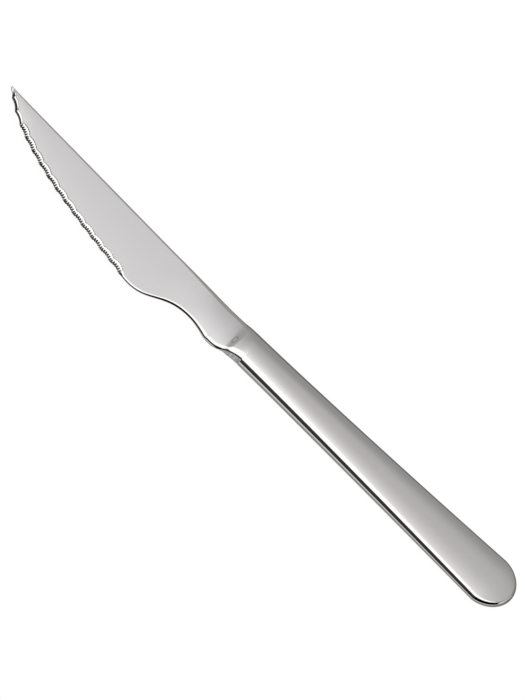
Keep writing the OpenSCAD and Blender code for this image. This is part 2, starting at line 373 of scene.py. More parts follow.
def bladeSection(x):
    # front and back: height, crown, edge and spine; apex: share of the rib at which the crown tops out;
    # gloss: polish of the edge, the face and the spine
    share = x / blade["length"]
    grow = easeWithin(share, blade["crownStart"], 1)
    spine = mixForm(blade["tipSpine"], blade["heelSpine"], easeWithin(share, blade["spineStart"], 1))
    return {
        "front": (faceZ, mix(*blade["frontCrown"], grow), blade["frontEdge"], spine),
        "back": (faceZ, blade["backCrown"], blade["backEdge"], blade["backSpine"]),
        "wedge": blade["wedge"],
        "apex": 0.5,
        "gloss": (1.0, blade["heelPolish"] * grow, blade["spinePolish"]),
        "grind": 0.0,
    }


def spineHeight(x):
    start, rise = blade["spineRise"]
    return rise * easeWithin(x / blade["length"], start, 1)


def serratedStations():
    # evenly spaced along the edge from the tip to the belly, the same for every tooth
    samples = blade["edgeSamples"]
    points = [cubicPoint(edgeCurve, i / samples) for i in range(samples + 1)]
    runs = [0.0]
    for a, b in zip(points, points[1:]):
        runs.append(runs[-1] + (b - a).length)
    total = runs[-1]
    pitch = serration["scallopPitch"]
    start = total - math.floor(total / pitch) * pitch
    step = pitch / serration["teethPerScallop"] / serration["stepsPerTooth"]
    lead = math.ceil(start / step)
    marks = [start * i / lead for i in range(lead)]
    count = round((total - start) / step)
    marks += [start + (total - start) * i / count for i in range(count + 1)]
    stations = []
    k = 0
    for run in marks:
        while k < samples - 1 and runs[k + 1] < run:
            k += 1
        share = (run - runs[k]) / (runs[k + 1] - runs[k])
        t = min(1, (k + share) / samples)
        inward = squareTo(edgeCurve, t)
        edge = cubicPoint(edgeCurve, t)
        reach = -edge.y / inward.y
        section = bladeSection(edge.x)
        if run < start:
            height, crown, _, spine = section["front"]
            section["front"] = (height, crown, blade["tipEdge"], spine)
        stations.append({
            "edge": edge,
            "inward": inward,
            "spine": edge + inward * reach,
            "run": run - start,
            "cut": ease(min(1, run / start)),
            **section,
        })
    return stations


def curveLength(curve):
    samples = blade["lengthSamples"]
    points = [cubicPoint(curve, i / samples) for i in range(samples + 1)]
    return sum((b - a).length for a, b in zip(points, points[1:]))


def plainStations(lead, lastRun):
    # belly, choil and heel, along which the teeth run out and the ribs turn square to the spine
    stations = []
    gone = 0.0
    before = bellyEnd
    for curve in (bellyCurve, heelCurve):
        count = round(curveLength(curve) / blade["outlineStep"])
        for i in range(1, count + 1):
            t = i / count
            edge = cubicPoint(curve, t)
            gone += (edge - before).length
            before = edge
            share = (edge.x - bellyX) / blade["bellySetback"]
            section = bladeSection(edge.x)
            height, crown, (radius, turn, flat, last), spine = section["front"]
            if curve is heelCurve:
                radius = mix(radius, blade["heelRadius"], t)
                flat = mix(flat, blade["heelFlat"], t)
            else:
                flat = mix(blade["bellyFlat"], flat, ease(t))
            section["front"] = (height, crown, (radius, turn, flat, last), spine)
            spineX = edge.x + lead * (1 - ease(share))
            stations.append({
                "edge": edge,
                "inward": squareTo(curve, t),
                "spine": Vector((spineX, spineHeight(spineX))),
                "run": lastRun,
                "cut": max(0, 1 - gone / serration["runOut"]),
                **section,
            })
    return stations


def mouthSection(along, depth, atEnd=0):
    # the handle's height, crown and sides, drawn in by some depth; atEnd goes over to the fuller side
    # of the butt's end
    height = coreHeight(along)
    turn = math.radians(handle["shoulderTurn"])
    share = max(0, along / handle["length"])
    late = share ** handle["sidePower"]
    shoulder = height * mix(handle["mouthShares"][0], handle["buttShares"][0], share)
    side = height * mix(handle["mouthShares"][1], handle["buttShares"][1], late)
    shoulder = mix(shoulder, height * handle["endShares"][0], atEnd)
    side = mix(side, height * handle["endShares"][1], atEnd)
    flat = mix(handle["buttFlat"] * share, handle["endFlat"], atEnd)
    crown = height - sideZ - shoulder * (1 - math.cos(turn))
    crown = crown - flat * math.sin(turn) - side * math.cos(turn)
    form = (shoulder - depth, handle["shoulderTurn"], flat, side - depth)
    return (height - depth, crown, form, form)


def bolsterStation(share, x, section, depth):
    # the neck's section at a share of its length, drawn in by some depth
    wall = easeWithin(share, *bolster["wallStart"])
    bright = mix(blade["heelPolish"], 1, easeWithin(share, *bolster["polishStart"]))
    fall = ease(share ** bolster["wallPower"])
    top = mix(blade["spineRise"][1], coreHalf(0) - handle["mouthDrop"], easeOut(share)) - depth
    bottom = mix(-blade["heelWidth"], -coreHalf(0) - handle["mouthDrop"], fall)
    inset = max(depth, bolster["wallInset"] * wall)
    turn = rake * share
    across = Vector((-math.sin(turn), math.cos(turn)))
    centre = Vector((x, (top + bottom) / 2))
    half = (top - bottom) / 2
    lean = squareTo(heelCurve, 1).lerp(across, easeWithin(share, 0, bolster["ribTurn"]))
    return {
        "edge": centre - (half - inset) * across,
        "inward": lean.normalized(),
        "spine": centre + half * across,
        "apex": (half - inset) / (2 * half - inset),
        "run": 0,
        "cut": 0.0,
        "wedge": blade["wedge"] * (1 - ease(share)),
        "gloss": (0.0, bright, mix(blade["spinePolish"], 1, bright)),
        "grind": wall,
        **section,
    }


def bolsterStations():
    stations = []
    mouth = mouthSection(0, 0)
    plain = bladeSection(blade["length"])
    for i in range(1, bolster["steps"] + 1):
        share = i / bolster["steps"]
        grow = swell(share)
        wall = easeWithin(share, *bolster["wallStart"])
        neck = easeWithin(share, 0, bolster["neckStart"])
        section = {}
        for side in ("front", "back"):
            height, crown, (radius, *form), spine = plain[side]
            last = bolster["wallBack"]
            if side == "front":
                radius = blade["heelRadius"]
                form = mixForm(bolster["heelEdge"], bolster["neckEdge"], neck)
                last = bolster["wallFront"]
            section[side] = (
                mix(height, mouth[0], grow),
                mix(crown, mouth[1], grow),
                (mix(radius, mouth[2][0], grow), *mixForm(form, last, wall)),
                mixForm(spine, mouth[3], grow),
            )
        stations.append(bolsterStation(share, mix(blade["length"], mouthX, share), section, 0))
    depth = handle["wall"] + bolster["fitGap"]
    inner = mouthSection(0, depth)
    for x in (mouthX, mouthX + bolster["spigotLength"]):
        stations.append(bolsterStation(1, x, {"front": inner, "back": inner}, depth))
    return stations


def rib(station, d):
    # place on the rib, which leaves the edge square to it and ends on the spine
    chord = (station["spine"] - station["edge"]).length
    t = d / chord if chord > 0 else 0
    pull = station["edge"] + station["inward"] * chord / 2
    return (1 - t) ** 2 * station["edge"] + 2 * t * (1 - t) * pull + t * t * station["spine"]


def halfSide(half, height, crown, form, counts, pull=1):
    # profile from the outer end of a section, over its side, to where the crown starts, then the
    # crown's radius and its slope there
    r1, turnDegrees, flat, r2 = form
    turn = math.radians(turnDegrees)
    reach = r1 * math.sin(turn) + flat * math.cos(turn) + r2 * (1 - math.sin(turn))
    small = min(1, sideRoom * half / reach) if half > 0 else 0
    r1, flat, r2, reach = r1 * small, flat * small, r2 * small, reach * small
    crown = crown * min(1, 2 * half / blade["wedgeWidth"])
    drop = r1 * (1 - math.cos(turn)) + flat * math.sin(turn) + r2 * math.cos(turn)
    start = 2 * pull * math.atan2(crown, max(half - reach, leastRun))
    crownR = r1 + (half - reach) / math.sin(start) if start > 0 else flatRadius
    low = height - crown - drop
    profile = []
    for i in range(counts[1]):
        a = mix(math.pi / 2, turn, i / (counts[1] - 1))
        profile.append((r2 - r2 * math.sin(a), low + r2 * math.cos(a)))
    d0, z0 = profile[-1]
    d0 += flat * math.cos(turn)
    z0 += flat * math.sin(turn)
    for i in range(counts[0]):
        a = mix(turn, start, i / (counts[0] - 1))
        d = d0 + r1 * (math.sin(turn) - math.sin(a))
        profile.append((d, z0 + r1 * (math.cos(a) - math.cos(turn))))
    return profile, crownR, start


def crownArc(apex, height, edgeR, spineR, d):
    r = edgeR if d < apex else spineR
    return height - r + math.sqrt(max(0, r * r - (apex - d) ** 2))


def roundSide(width, apex, side, edgeRows, faceRows, spineRows):
    # profile from the edge over the face to the spine, as distance along the rib and height
    height, crown, edgeForm, spineForm = side
    edge, edgeR, _ = halfSide(apex, height, crown, edgeForm, edgeRows)
    spine, spineR, _ = halfSide(width - apex, height, crown, spineForm, spineRows)
    spine = [(width - d, z) for d, z in reversed(spine)]
    face = []
    for i in range(1, faceRows):
        d = mix(edge[-1][0], spine[0][0], i / faceRows)
        face.append((d, crownArc(apex, height, edgeR, spineR, d)))
    return edge + face + spine, edgeR, spineR


# Slopes of the two grinding wheels, and how far a scallop bows in along the edge
scallopTurn = math.radians(serration["scallopAngle"])
toothTurn = math.radians(serration["toothAngle"])
scallopSlope = math.tan(scallopTurn)
toothSlope = math.tan(toothTurn)
scallopBow = serration["scallopRadius"] * math.sin(scallopTurn)
scallopRise = serration["scallopPitch"] * serration["scallopPitch"] / 8 / scallopBow


def groundAt(run):
    # at a place along the edge: is its scallop plain, how far in is its root, and how far do the
    # rounds of the tooth's wheel and the scallop's wheel stand proud
    pitch = serration["scallopPitch"]
    count = serration["teethPerScallop"]
    index = min(round(serratedLength / pitch) - 1, wholeBelow(run / pitch))
    offset = run - (index + 0.5) * pitch
    scallopBulge = offset * offset / 2 / serration["scallopRadius"] / math.cos(scallopTurn)
    if index < serration["plainScallops"]:
        return True, scallopRise - offset * offset / 2 / scallopBow, 0, scallopBulge
    toothPitch = pitch / count
    tooth = max(0, min(count - 1, wholeBelow((offset + pitch / 2) / toothPitch)))
    place = (tooth - (count - 1) / 2) * toothPitch
    fromTooth = max(-toothPitch / 2, min(toothPitch / 2, offset - place))
    wheel = serration["toothRadius"]
    toothBulge = (wheel - math.sqrt(wheel ** 2 - fromTooth ** 2)) / math.cos(toothTurn)
    return False, scallopRise - place * place / 2 / scallopBow, toothBulge, scallopBulge


def cutSide(width, station, plain, edgeR, spineR, wedge):
    # the front profile with the teeth and the scallop ground into its edge
    isPlain, root, toothBulge, scallopBulge = groundAt(station["run"])
    depth = serration["scallopDepth"]
    bottom = -faceZ + blade["backCrown"] + 2 * wedge
    if isPlain:
        bottom += serration["plainLift"]

    def zFace(d):
        return crownArc(width / 2, station["front"][0], edgeR, spineR, d)

    top = zFace(0)
    inset = scallopRise + (top - bottom - depth) / toothSlope

    def zCut(d):
        scallop = top - depth - scallopSlope * (inset - d) + scallopBulge
        groove = bottom + toothSlope * (d - root) + toothBulge
        return max(bottom, min(scallop, groove, zFace(d)))

    dEdge = max(0, root - toothBulge / toothSlope)
    dFace = max(dEdge, inset + (depth - scallopBulge) / scallopSlope)
    dTooth = top - depth - scallopSlope * inset + scallopBulge - bottom + toothSlope * root - toothBulge
    dTooth = max(dEdge, min(dFace, dTooth / (toothSlope - scallopSlope)))
    spineCount = sum(rows["spine"])
    spineStart = plain[-spineCount][0]
    room = serration["room"] * spineStart
    if dFace > room:
        squeeze = room / dFace
        dEdge, dTooth, dFace = dEdge * squeeze, dTooth * squeeze, dFace * squeeze
    edgeCount = sum(rows["edge"])
    profile = [(dEdge, bottom)]
    toothRows = (edgeCount - 2) // 2
    for i in range(toothRows + 1):
        d = mix(dEdge, dTooth, i / toothRows)
        profile.append((d, zCut(d)))
    faceCut = edgeCount - len(profile)
    for i in range(1, faceCut + 1):
        d = mix(dTooth, dFace, i / faceCut)
        profile.append((d, zCut(d) if i < faceCut else zFace(d)))
    for i in range(1, rows["face"]):
        d = mix(dFace, spineStart, i / rows["face"])
        profile.append((d, zFace(d)))
    return profile + plain[-spineCount:], dEdge


def backSide(width, station, dEdge):
    height = station["back"][0]
    apex = width * station["apex"]
    plain, edgeR, spineR = roundSide(
        width, apex, station["back"], rows["edgeBack"], rows["back"], rows["spineBack"]
    )
    if station["cut"] == 0:
        return plain
    ground = []
    for i, (d, z) in enumerate(plain):
        d = max(dEdge, min(width, dEdge + d * (1 - dEdge / width)))
        onSpine = i >= len(plain) - sum(rows["spineBack"])
        ground.append((d, z if onSpine else crownArc(apex, height, edgeR, spineR, d)))
    return blendProfile(plain, ground, station["cut"])


def markDepth(x, y):
    # small oval ring stamped into the neck
    place, half = bolster["markPlace"], bolster["markHalf"]
    far = math.hypot((x - place[0]) / half[0], (y - place[1]) / half[1])
    middle, wide = bolster["markRing"]
    return bolster["markDepth"] * math.exp(-((far - middle) / wide) ** 2)


def bladeColumn(station):
    width = max((station["spine"] - station["edge"]).length, leastWidth)
    wedge = station["wedge"] * min(1, width / blade["wedgeWidth"])
    apex = width * station["apex"]
    front, edgeR, spineR = roundSide(
        width, apex, station["front"], rows["edge"], rows["face"], rows["spine"]
    )
    dEdge = 0
    if station["cut"] > 0:
        ground, dEdge = cutSide(width, station, front, edgeR, spineR, wedge)
        front = blendProfile(front, ground, station["cut"])
    back = backSide(width, station, dEdge)
    column = []
    for d, z in front:
        p = rib(station, d)
        thin = wedge * (1 - d / width)
        column.append(Vector((p.x, p.y, z - thin - markDepth(p.x, p.y))))
    for d, z in reversed(back):
        p = rib(station, d)
        thin = wedge * (1 - d / width)
        column.append(Vector((p.x, p.y, thin - z)))
    column[0].z = max(column[0].z, column[-1].z)
    column.append(column[0].copy())
    return column


def bladeMarks(station):
    # how far each point is polished, and how far it shows the lines of the grinding belt
    wall, face, spine = station["gloss"]
    fade = blade["polishFade"]
    marks = [wall] + [1.0] * (sum(rows["edge"]) - 1)
    if station["cut"] == 0:
        marks[-len(fade):] = [mix(face, 1, share) for share in fade]
    marks += [face] * (rows["face"] - 1)
    marks += [spine] * (sum(rows["spine"]) + sum(rows["spineBack"]))
    marks += [face] * (rows["back"] - 1)
    marks += [wall] * sum(rows["edgeBack"])
    marks = [(polish, 0.0) for polish in marks] + [(wall, 0.0)]
    for j in (0, -1, -2):  # the wall's own points
        marks[j] = (marks[j][0], station["grind"])
    return marks


def makeTang():
    # flat tang with its key holes, filled as a curve and made a mesh
    flat = bpy.data.curves.new("tangOutline", "CURVE")
    flat.dimensions = "2D"
    flat.fill_mode = "BOTH"
    flat.extrude = faceZ - bolster["fitGap"]
    half = bolster["tangWidth"] / 2
    taperStart = bolster["tangLength"] - bolster["tangEnd"][0] * bolster["tangWidth"]
    tipHalf = bolster["tangEnd"][1] * half
    lower = [
        (bolster["spigotLength"] / 2, -half),
        (taperStart, -half),
        (bolster["tangLength"], -tipHalf),
    ]
    upper = [(along, -across) for along, across in reversed(lower)]
    loops = [lower + upper]
    sides = bolster["keySides"]
    radius = bolster["keyRadius"]
    turns = [2 * math.pi * i / sides for i in range(sides)]
    for k in range(bolster["keyHoles"]):
        centre = bolster["tangLength"] - bolster["keySetback"] - k * bolster["keySpacing"]
        loops.append([(centre + radius * math.cos(a), radius * math.sin(a)) for a in turns])
    for loop in loops:
        spline = flat.splines.new("POLY")
        spline.points.add(len(loop) - 1)
        spline.use_cyclic_u = True
        for point, (along, across) in zip(spline.points, loop):
            point.co = (*handlePlace(along, across, 0), 1)
    carrier = bpy.data.objects.new("tangOutline", flat)
    bpy.context.scene.collection.objects.link(carrier)
    filled = carrier.evaluated_get(bpy.context.evaluated_depsgraph_get())
    mesh = bpy.data.meshes.new_from_object(filled)
    bpy.data.objects.remove(carrier)
    return mesh


stations = serratedStations()
serratedLength = stations[-1]["run"]
stations += plainStations(stations[-1]["spine"].x - bellyX, serratedLength)
stations += bolsterStations()


def makeBlade():
    bm = skinGrid([bladeColumn(s) for s in stations], [bladeMarks(s) for s in stations])
    bmesh.ops.remove_doubles(bm, verts=bm.verts, dist=joinGap)
    rim = [e for e in bm.edges if e.is_boundary]
    bmesh.ops.holes_fill(bm, edges=rim, sides=0)
    tang = makeTang()
    bm.from_mesh(tang)
    bpy.data.meshes.remove(tang)
    cleanSkin(bm)
    return finishPiece(bm, "bladeForging", ["blade"], blade["sharpAngle"])


# Handle: ribs from its outline to its centre line, which meet in one point at the butt


def handleRibs(start):
    ribs = []
    for i in range(handle["lengthSteps"] + 1):
        along = mix(start, buttX, i / handle["lengthSteps"])
        ribs.append(((along, coreHalf(along)), (along, 0)))
    wide = coreHalf(buttX)
    for i in range(1, handle["buttSteps"]):
        turn = math.pi * (0.5 - i / handle["buttSteps"])
        across = wide * math.sin(turn) + handle["buttSkew"] * math.cos(turn)
        reach = handle["buttRound"] * math.cos(turn) ** handle["buttPower"]
        ribs.append(((buttX + reach, across), (buttX, 0)))
    ribs += [((a, -w), c) for (a, w), c in reversed(ribs[: handle["lengthSteps"] + 1])]
    return ribs


def handleColumn(outer, inner):
    # points from the outline, over the side and up the crown, to the centre line
    half = math.hypot(outer[0] - inner[0], outer[1] - inner[1])
    atEnd = max(0, outer[0] - inner[0]) / handle["buttRound"]
    height, crown, form, _ = mouthSection(inner[0], 0, atEnd)
    pull = mix(1, handle["crownPull"], easeWithin(inner[0] / handle["length"], 0, handle["pullRun"]))
    profile, _, start = halfSide(half, height, crown, form, handle["sideRows"], pull)
    last, lastZ = profile[-1]
    power = math.tan(start) * (half - last) / (height - lastZ)
    for i in range(1, handle["crownRows"] + 1):
        share = i / handle["crownRows"]
        profile.append((mix(last, half, share), height - (height - lastZ) * (1 - share) ** power))
    column = []
    for d, z in profile:
        share = d / half
        along = mix(outer[0], inner[0], share)
        across = mix(outer[1], inner[1], share)
        fall = (coreHeight(along) - sideZ) / (height - sideZ)
        column.append(handlePlace(along, across, sideZ + (z - sideZ) * fall))
    return column


def makeShell(name, node, upper):
    bm = skinGrid([handleColumn(a, b) for a, b in handleRibs(handle["braze"])])
    cleanSkin(bm)
    if sum(f.normal.z for f in bm.faces) < 0:
        bmesh.ops.reverse_faces(bm, faces=bm.faces)
    bmesh.ops.solidify(bm, geom=bm.faces, thickness=handle["wall"])
    for v in bm.verts:
        v.co.z = max(v.co.z, sideZ)
    if not upper:
        bmesh.ops.scale(bm, vec=(1, 1, -1), verts=bm.verts)
        bmesh.ops.reverse_faces(bm, faces=bm.faces)
    return finishPiece(bm, name, [node], handle["sharpAngle"])


def makeSeam():
    outline = [handlePlace(*outer, 0) for outer, _ in handleRibs(handle["braze"])]
    up = Vector((0, 0, sideZ))
    bm = skinGrid([[p - up, p + up] for p in outline])
    bmesh.ops.recalc_face_normals(bm, faces=bm.faces)
    bmesh.ops.solidify(bm, geom=bm.faces, thickness=handle["wall"])
    return finishPiece(bm, "seamBraze", ["shell_seam"], handle["sharpAngle"])


def makeNeckRing():
    half = coreHalf(0)
    upper = handleColumn((0, half), (0, 0))
    lower = handleColumn((0, -half), (0, 0))
    ring = upper + lower[-2::-1]
    flip = Vector((1, 1, -1))
    ring += [p * flip for p in reversed(ring)]
    ring.append(ring[0].copy())
    along = handlePlace(handle["braze"], 0, 0) - handlePlace(0, 0, 0)
    bm = skinGrid([[p, p + along] for p in ring])
    bmesh.ops.remove_doubles(bm, verts=bm.verts, dist=joinGap)
    bmesh.ops.recalc_face_normals(bm, faces=bm.faces)
    bmesh.ops.solidify(bm, geom=bm.faces, thickness=handle["wall"])
    return finishPiece(bm, "neckBraze", ["neck_joint"], handle["sharpAngle"])


bladePiece = makeBlade()
frontShell = makeShell("handleFrontShell", "handle_front_shell", True)
backShell = makeShell("handleBackShell", "handle_back_shell", False)
seamPiece = makeSeam()
neckPiece = makeNeckRing()

# Finishes


def newMaterial(name):
    material = bpy.data.materials.new(name)
    material.use_nodes = True
    nodes = material.node_tree.nodes
    return material, nodes, material.node_tree.links, nodes["Principled BSDF"]


def mathNode(nodes, operation, *numbers):
    node = nodes.new("ShaderNodeMath")
    node.operation = operation
    for place, number in numbers:
        node.inputs[place].default_value = number
    return node


def vectorNode(nodes, operation, second=(0, 0, 0)):
    node = nodes.new("ShaderNodeVectorMath")
    node.operation = operation
    node.inputs[1].default_value = second
    return node


def rangeNode(nodes, low, high, toLow=0.0, toHigh=1.0):
    node = nodes.new("ShaderNodeMapRange")
    for name, number in (("From Min", low), ("From Max", high), ("To Min", toLow), ("To Max", toHigh)):
        node.inputs[name].default_value = number
    return node


def colourMix(nodes, first, second):
    # socket 0 takes the share, 6 and 7 take the colours, and output 2 gives the result
    node = nodes.new("ShaderNodeMix")
    node.data_type = "RGBA"
    node.inputs[6].default_value = (*first, 1)
    node.inputs[7].default_value = (*second, 1)
    return node


def rampOf(nodes, stops, low, high):
    ramp = nodes.new("ShaderNodeValToRGB")
    made = ramp.color_ramp.elements
    made.remove(made[1])
    for i, (place, level) in enumerate(stops):
        stop = made[0] if i == 0 else made.new((place - low) / (high - low))
        stop.position = (place - low) / (high - low)
        stop.color = (level, level, level, 1)
    return ramp


def darkenBase(material, tone):
    # lays a darker tone over the steel's colour and hands back the socket for its share
    nodes, links = material.node_tree.nodes, material.node_tree.links
    base = nodes["Principled BSDF"].inputs["Base Color"]
    dark = colourMix(nodes, tone, tone)
    links.new(base.links[0].from_socket, dark.inputs[6])
    links.new(dark.outputs[2], base)
    return dark.inputs[0]


# Grain of all steel: the lines' noise, the clouds' noise, the lines' useful range and their depth
grainLook = {
    "lineDetail": 3.0,
    "lineRoughness": 0.6,
    "cloudScale": 90.0,
    "cloudDetail": 4.0,
    "range": (0.25, 0.75),
    "depth": 0.01,
}


def grainGroup():
    # fine lines left by the polishing wheel, and slow clouds of wear
    group = bpy.data.node_groups.new("polishingGrain", "ShaderNodeTree")
    for name in ("Place", "Stretch"):
        group.interface.new_socket(name, in_out="INPUT", socket_type="NodeSocketVector")
    for name in ("Lines", "Clouds"):
        group.interface.new_socket(name, in_out="OUTPUT", socket_type="NodeSocketFloat")
    nodes, links = group.nodes, group.links
    given = nodes.new("NodeGroupInput")
    out = nodes.new("NodeGroupOutput")
    pull = vectorNode(nodes, "MULTIPLY")
    lines = nodes.new("ShaderNodeTexNoise")
    lines.inputs["Scale"].default_value = 1.0
    lines.inputs["Detail"].default_value = grainLook["lineDetail"]
    lines.inputs["Roughness"].default_value = grainLook["lineRoughness"]
    clouds = nodes.new("ShaderNodeTexNoise")
    clouds.inputs["Scale"].default_value = grainLook["cloudScale"]
    clouds.inputs["Detail"].default_value = grainLook["cloudDetail"]
    links.new(given.outputs["Place"], pull.inputs[0])
    links.new(given.outputs["Stretch"], pull.inputs[1])
    links.new(pull.outputs["Vector"], lines.inputs["Vector"])
    links.new(given.outputs["Place"], clouds.inputs["Vector"])
    links.new(lines.outputs["Fac"], out.inputs["Lines"])
    links.new(clouds.outputs["Fac"], out.inputs["Clouds"])
    return group


polishingGrain = grainGroup()


def steelFinish(look):
    # grained steel, made brighter and smoother where the piece's own "polish" says so
    material, nodes, links, shader = newMaterial(look["name"])
    shader.inputs["Metallic"].default_value = 1.0
    place = nodes.new("ShaderNodeTexCoord")
    grain = nodes.new("ShaderNodeGroup")
    grain.node_tree = polishingGrain
    grain.inputs["Stretch"].default_value = look["stretch"]
    links.new(place.outputs["Object"], grain.inputs["Place"])
    tone = colourMix(nodes, look["dark"], look["light"])
    links.new(grain.outputs["Clouds"], tone.inputs[0])
    worked = colourMix(nodes, look["light"], look["bright"])
    links.new(tone.outputs[2], worked.inputs[6])
    links.new(worked.outputs[2], shader.inputs["Base Color"])
    gloss = rangeNode(nodes, *grainLook["range"], *look["gloss"])
    links.new(grain.outputs["Lines"], gloss.inputs["Value"])
    bright = nodes.new("ShaderNodeAttribute")
    bright.attribute_name = "polish"
    smooth = nodes.new("ShaderNodeMix")
    smooth.inputs[3].default_value = look["polished"]
    links.new(bright.outputs["Fac"], smooth.inputs[0])
    links.new(bright.outputs["Fac"], worked.inputs[0])
    links.new(gloss.outputs["Result"], smooth.inputs[2])
    links.new(smooth.outputs[0], shader.inputs["Roughness"])
    bump = nodes.new("ShaderNodeBump")
    bump.inputs["Strength"].default_value = look["bump"]
    bump.inputs["Distance"].default_value = grainLook["depth"] * mm
    links.new(grain.outputs["Lines"], bump.inputs["Height"])
    links.new(bump.outputs["Normal"], shader.inputs["Normal"])
    return material


def beltLines(material, look):
    # matt wall of the neck with the coarse lines of the grinding belt across it
    nodes, links = material.node_tree.nodes, material.node_tree.links
    place = nodes.new("ShaderNodeTexCoord")
    pull = vectorNode(nodes, "MULTIPLY", look["stretch"])
    lines = nodes.new("ShaderNodeTexNoise")
    lines.inputs["Scale"].default_value = 1.0
    ground = nodes.new("ShaderNodeAttribute")
    ground.attribute_name = "grind"
    cut = rangeNode(nodes, *look["range"], 0.0, look["line"])
    deep = mathNode(nodes, "MULTIPLY")
    metal = rangeNode(nodes, 0.0, 1.0, 1.0, look["metal"])
    links.new(place.outputs["Object"], pull.inputs[0])
    links.new(pull.outputs["Vector"], lines.inputs["Vector"])
    links.new(lines.outputs["Fac"], cut.inputs["Value"])
    links.new(cut.outputs["Result"], deep.inputs[0])
    links.new(ground.outputs["Fac"], deep.inputs[1])
    links.new(deep.outputs[0], darkenBase(material, look["tone"]))
    links.new(ground.outputs["Fac"], metal.inputs["Value"])
    links.new(metal.outputs["Result"], nodes["Principled BSDF"].inputs["Metallic"])


def paintNeckRingShade(material, look):
    # paints shade into the steel's colour: a dark ring along the line of the oval dent in the neck,
    # standing for the dark reflection that the neck's hollow shows
    nodes, links = material.node_tree.nodes, material.node_tree.links
    halfX, halfY = bolster["markHalf"]
    middle, wide = bolster["markRing"]
    place = nodes.new("ShaderNodeTexCoord")
    shift = vectorNode(nodes, "SUBTRACT", layDown @ Vector((*bolster["markPlace"], 0)))
    grow = vectorNode(nodes, "MULTIPLY", (1 / halfX / mm, 1 / halfY / mm, 0))
    far = vectorNode(nodes, "LENGTH")
    off = mathNode(nodes, "SUBTRACT", (1, middle))
    size = mathNode(nodes, "ABSOLUTE")
    ring = rangeNode(nodes, 0.0, look["spread"] * wide, look["line"], 0.0)
    ring.interpolation_type = "SMOOTHSTEP"
    links.new(place.outputs["Object"], shift.inputs[0])
    links.new(shift.outputs["Vector"], grow.inputs[0])
    links.new(grow.outputs["Vector"], far.inputs[0])
    links.new(far.outputs["Value"], off.inputs[0])
    links.new(off.outputs[0], size.inputs[0])
    links.new(size.outputs[0], ring.inputs["Value"])
    links.new(ring.outputs["Result"], darkenBase(material, look["tone"]))


bladeLook = {
    "name": "satinBladeSteel",
    "dark": (0.876, 0.862, 0.862),
    "light": (0.911, 0.896, 0.896),
    "bright": (0.69, 0.672, 0.665),
    "gloss": (0.4, 0.46),
    "polished": 0.1,
    "stretch": (9000, 500, 500),
    "bump": 0.25,
}
handleLook = {
    "name": "polishedHandleSteel",
    "dark": (0.675, 0.656, 0.647),
    "light": (0.7, 0.681, 0.672),
    "bright": (0.69, 0.672, 0.665),
    "gloss": (0.06, 0.09),
    "polished": 0.07,
    "stretch": (400, 5000, 5000),
    "bump": 0.08,
}
brazeLook = {
    "name": "silverBraze",
    "dark": (0.66, 0.65, 0.63),
    "light": (0.69, 0.68, 0.66),
    "bright": (0.68, 0.67, 0.65),
    "gloss": (0.12, 0.18),
    "polished": 0.1,
    "stretch": (2000, 5000, 5000),
    "bump": 0.1,
}
beltLook = {
    "stretch": (1900, 60, 60),
    "range": (0.42, 0.58),
    "line": 0.6,
    "tone": (0.4, 0.4, 0.4),
    "metal": 0.3,
}
# painted shade of the neck's oval: the ring's tone, its share and how far it spreads
neckRingShadeLook = {
    "tone": (0.3, 0.3, 0.3),
    "line": 0.6,
    "spread": 1.6,
}
bladeSteel = steelFinish(bladeLook)
handleSteel = steelFinish(handleLook)
brazeMetal = steelFinish(brazeLook)
beltLines(bladeSteel, beltLook)
# the neck's oval gets a painted dark ring of shade
paintNeckRingShade(bladeSteel, neckRingShadeLook)

cementLook = {
    "name": "handleCement",
    "dark": (0.28, 0.22, 0.15),
    "light": (0.45, 0.38, 0.28),
    "roughness": 0.9,
    "gritScale": 2500.0,
    "gritDetail": 6.0,
    "bump": 0.4,
    "depth": 0.1,
}


def cementFinish(look):
    material, nodes, links, shader = newMaterial(look["name"])
    shader.inputs["Roughness"].default_value = look["roughness"]
    place = nodes.new("ShaderNodeTexCoord")
    grit = nodes.new("ShaderNodeTexNoise")
    grit.inputs["Scale"].default_value = look["gritScale"]
    grit.inputs["Detail"].default_value = look["gritDetail"]
    tone = colourMix(nodes, look["dark"], look["light"])
    bump = nodes.new("ShaderNodeBump")
    bump.inputs["Strength"].default_value = look["bump"]
    bump.inputs["Distance"].default_value = look["depth"] * mm
    links.new(place.outputs["Object"], grit.inputs["Vector"])
    links.new(grit.outputs["Fac"], tone.inputs[0])
    links.new(tone.outputs[2], shader.inputs["Base Color"])
    links.new(grit.outputs["Fac"], bump.inputs["Height"])
    links.new(bump.outputs["Normal"], shader.inputs["Normal"])
    return material


def paint(piece, material):
    piece.data.materials.clear()
    piece.data.materials.append(material)


paint(bladePiece, bladeSteel)
paint(frontShell, handleSteel)
paint(backShell, handleSteel)
paint(seamPiece, brazeMetal)
paint(neckPiece, brazeMetal)
paint(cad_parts["tang_cement"], cementFinish(cementLook))
print("finishes set")

# Studio: floor, surroundings, camera

